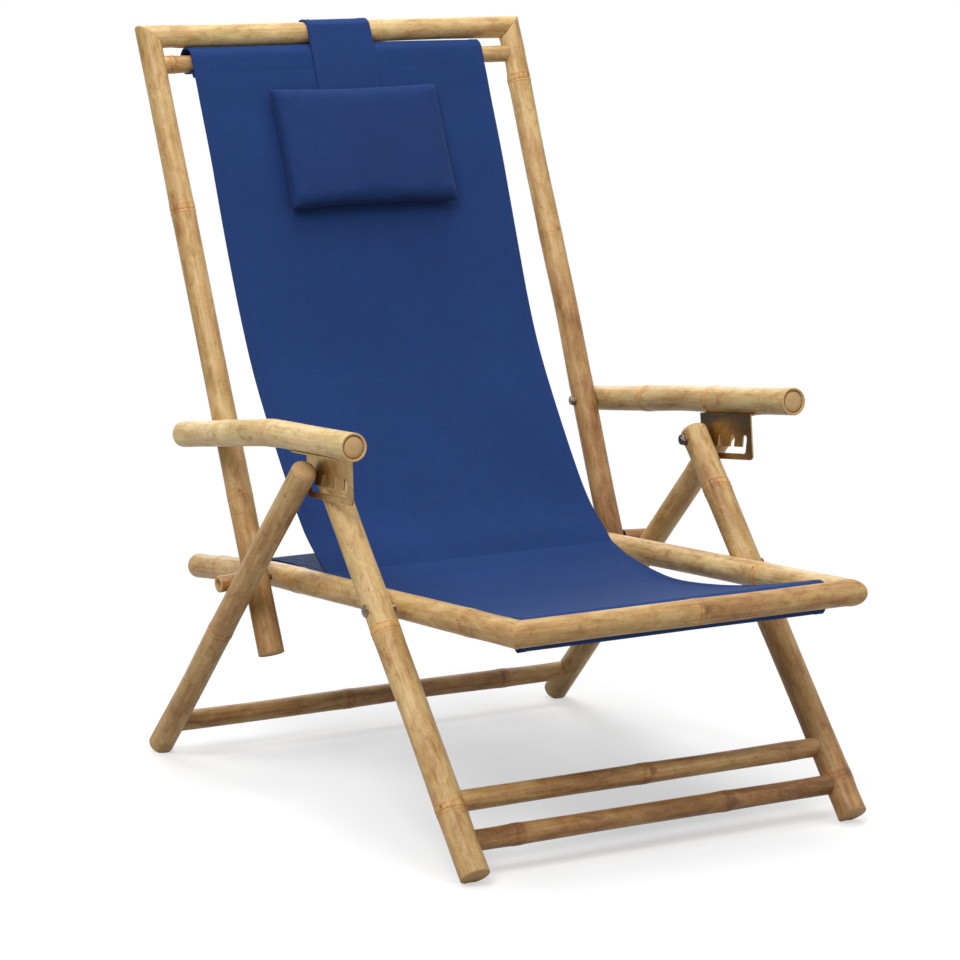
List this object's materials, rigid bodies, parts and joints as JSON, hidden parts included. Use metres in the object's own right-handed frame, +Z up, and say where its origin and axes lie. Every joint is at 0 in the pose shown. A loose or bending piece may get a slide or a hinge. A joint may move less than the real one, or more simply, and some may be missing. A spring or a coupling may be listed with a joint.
{
  "type": "reclining deck chair",
  "caption": "Folding bamboo deck chair with a cloth sling seat, a strapped headrest pillow and armrests whose notched plates set the recline.",
  "frame": {"origin": "on the floor under the middle of the chair's overall box", "axes": "+Z up, -Y towards the front of the seat, +X the sitter's left"},
  "size_m": [0.6398, 0.8897, 0.9407],
  "materials": {
    "leg_bamboo": "satin lacquer over straw coloured bamboo",
    "seat_bamboo": "satin lacquer over straw coloured bamboo",
    "back_bamboo": "satin lacquer over straw coloured bamboo with green tints",
    "armrest_bamboo": "satin lacquer over straw coloured bamboo",
    "stretcher_bamboo": "satin lacquer over brown bamboo",
    "bar_bamboo": "satin lacquer over straw coloured bamboo",
    "peg_bamboo": "satin lacquer, open cut end",
    "sling_cloth": "plain woven navy canvas",
    "pillow_cloth": "plain woven navy canvas over foam",
    "strap_cloth": "plain woven navy band",
    "plate_steel": "yellow passivated zinc",
    "bolt_steel": "dark zinc",
    "screw_steel": "yellow passivated zinc"
  },
  "bodies": {
    "front_leg_frame": {"front_leg_left": "leg_bamboo", "front_leg_right": "leg_bamboo", "front_stretcher_upper": "stretcher_bamboo", "front_stretcher_lower": "stretcher_bamboo", "leg_bolts_inner": "bolt_steel", "seat_pivot_bolts": "bolt_steel"},
    "rear_leg_frame": {"rear_leg_left": "leg_bamboo", "rear_leg_right": "leg_bamboo", "rear_stretcher": "stretcher_bamboo"},
    "seat_frame": {"seat_rail_left": "seat_bamboo", "seat_rail_right": "seat_bamboo", "seat_front_rail": "seat_bamboo", "seat_sling_bar": "bar_bamboo", "seat_cloth": "sling_cloth"},
    "back_pivot": {"back_pivot_bolts": "bolt_steel", "rest_pegs": "peg_bamboo", "bight_cloth": "sling_cloth"},
    "back_frame": {"back_post_left": "back_bamboo", "back_post_right": "back_bamboo", "top_rail": "back_bamboo", "back_sling_bar": "bar_bamboo", "back_cloth": "sling_cloth", "headrest_pillow": "pillow_cloth", "headrest_strap": "strap_cloth"},
    "arm_pivot": {"arm_pivot_bolts": "bolt_steel"},
    "arms": {"armrest_left": "armrest_bamboo", "armrest_right": "armrest_bamboo", "notched_plate_left": "plate_steel", "notched_plate_right": "plate_steel", "plate_screws": "screw_steel"}
  },
  "joints": [
    {"name": "seat_fold", "type": "hinge", "parent": "front_leg_frame", "child": "seat_frame", "pos_m": [0, -0.169, 0.28], "axis": [1, 0, 0], "range_deg": [0, 45.6]},
    {"name": "rear_leg_fold", "type": "hinge", "parent": "front_leg_frame", "child": "rear_leg_frame", "pos_m": [0, -0.048, 0.424], "axis": [-1, 0, 0], "range_deg": [0, 80]},
    {"name": "back_fold", "type": "hinge", "parent": "seat_frame", "child": "back_pivot", "pos_m": [0, 0.149, 0.262], "axis": [-1, 0, 0], "range_deg": [0, 35]},
    {"name": "back_recline", "type": "hinge", "parent": "back_pivot", "child": "back_frame", "pos_m": [0, 0.149, 0.262], "axis": [-1, 0, 0], "range_deg": [0, 30]},
    {"name": "arm_fold", "type": "hinge", "parent": "back_frame", "child": "arm_pivot", "pos_m": [0, 0.22276, 0.43842], "axis": [1, 0, 0], "range_deg": [0, 37]},
    {"name": "arm_follow", "type": "hinge", "parent": "arm_pivot", "child": "arms", "pos_m": [0, 0.22276, 0.43842], "axis": [1, 0, 0], "range_deg": [0, 21.9]}
  ],
  "couplings": [
    {"joint": "rear_leg_fold", "follows": "seat_fold", "ratio": 1.75},
    {"joint": "back_fold", "follows": "seat_fold", "ratio": 0.75},
    {"joint": "arm_fold", "follows": "seat_fold", "ratio": 0.8},
    {"joint": "arm_follow", "follows": "back_recline", "ratio": 0.72}
  ]
}
